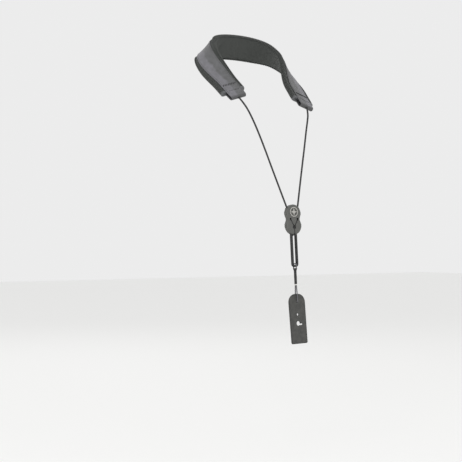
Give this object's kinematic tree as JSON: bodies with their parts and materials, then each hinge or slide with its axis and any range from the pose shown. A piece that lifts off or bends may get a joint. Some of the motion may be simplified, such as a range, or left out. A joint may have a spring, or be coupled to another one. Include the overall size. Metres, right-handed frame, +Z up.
{
  "type": "instrument neck strap",
  "caption": "padded neck strap with a sliding cord adjuster and a leather thumb-hook tab that carries a clarinet or similar wind instrument",
  "frame": {"origin": "middle of the pad's inner face, where it rests on the nape of the neck", "axes": "+Z up, -Y the wearer's front, +X the wearer's left"},
  "size_m": [0.163, 0.1659, 0.4332],
  "materials": {
    "foam": "open-cell foam",
    "lining": "brushed knit",
    "knit_cover": "spacer knit",
    "edge_thread": "overlocked thread",
    "binding_tape": "satin tape",
    "strip_leather": "satin grey",
    "seam_thread": "twisted thread",
    "neck_cord": "braided",
    "slider_plastic": "moulded satin",
    "badge_metal": "bright",
    "link_cord": "braided",
    "sleeve_plastic": "shrunk tube",
    "ferrule_metal": "crimped",
    "tab_leather": "vegetable tanned, satin"
  },
  "bodies": {
    "neck_band": {"pad_foam": "foam", "pad_lining": "lining", "pad_cover": "knit_cover", "upper_edge_binding": "edge_thread", "lower_edge_binding": "edge_thread", "right_end_binding": "binding_tape", "left_end_binding": "binding_tape", "leather_strip": "strip_leather", "right_bar_tack": "seam_thread", "left_bar_tack": "seam_thread", "right_cord_knot": "neck_cord", "left_cord_knot": "neck_cord"},
    "neck_cords": {"right_neck_cord": "neck_cord", "left_neck_cord": "neck_cord"},
    "slider": {"slider_body": "slider_plastic", "slider_badge": "badge_metal", "right_threaded_cord": "neck_cord", "left_threaded_cord": "neck_cord", "front_end_knot": "neck_cord", "back_end_knot": "neck_cord"},
    "cord_loop": {"front_loop_cord": "neck_cord", "back_loop_cord": "neck_cord"},
    "link": {"link_cord": "link_cord", "link_sleeve": "sleeve_plastic", "link_ferrule": "ferrule_metal"},
    "tab": {"leather_tab": "tab_leather"}
  },
  "joints": [
    {"name": "cord_swing", "type": "hinge", "parent": "neck_band", "child": "neck_cords", "pos_m": [-0.00098, -0.0967, -0.08699], "axis": [-0.9918, 0.0951, 0.0854], "range_deg": [0, 60]},
    {"name": "slider_travel", "type": "slide", "parent": "neck_cords", "child": "slider", "axis": [0, -0.1961, -0.9806], "range_m": [-0.1, 0.07], "deforming": ["right_neck_cord", "left_neck_cord"]},
    {"name": "loop_travel", "type": "slide", "parent": "slider", "child": "cord_loop", "axis": [0, -0.0785, -0.9969], "range_m": [-0.034, 0.0485], "deforming": ["front_loop_cord", "back_loop_cord"]},
    {"name": "link_swing", "type": "hinge", "parent": "cord_loop", "child": "link", "pos_m": [0, -0.14254, -0.30944], "axis": [-1, 0, 0], "range_deg": [0, 80]},
    {"name": "tab_swing", "type": "hinge", "parent": "link", "child": "tab", "pos_m": [0, -0.14636, -0.35799], "axis": [0, 0.9969, -0.0785], "range_deg": [-40, 40]}
  ],
  "couplings": [
    {"joint": "loop_travel", "follows": "slider_travel", "ratio": -0.48}
  ]
}
